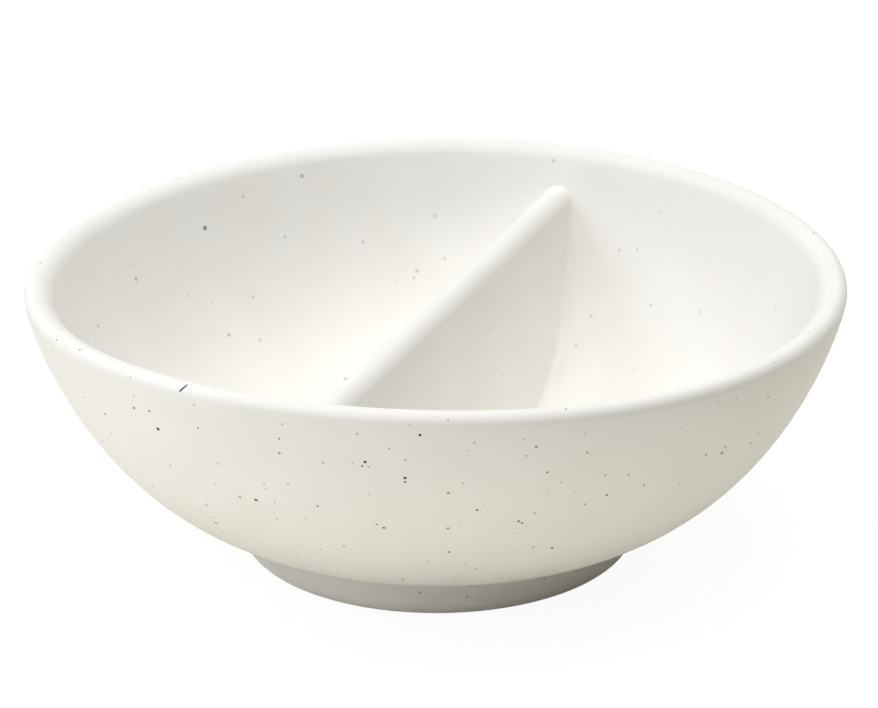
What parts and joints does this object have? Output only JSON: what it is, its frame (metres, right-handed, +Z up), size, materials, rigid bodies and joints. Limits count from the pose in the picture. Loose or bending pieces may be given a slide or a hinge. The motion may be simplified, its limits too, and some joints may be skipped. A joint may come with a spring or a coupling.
{
  "type": "salt dish",
  "caption": "Round footed stoneware dish with a thick rounded lip and a low dividing wall across it, for keeping salt and another condiment side by side on the table.",
  "frame": {"origin": "on the bowl's axis, at the height of the table that the foot stands on", "axes": "+Z up along the bowl's axis, Y along the dividing wall, X across it"},
  "size_m": [0.1, 0.1, 0.0366],
  "materials": {
    "speckled_glaze": "satin off-white glaze with sparse dark iron specks",
    "foot_glaze": "the same satin glaze, wiped off to bare clay where the foot stands"
  },
  "bodies": {
    "root": {"bowl_shell": "speckled_glaze", "foot_ring": "foot_glaze", "divider_wall": "speckled_glaze", "seam_coil_left": "speckled_glaze", "seam_coil_right": "speckled_glaze"}
  },
  "joints": []
}
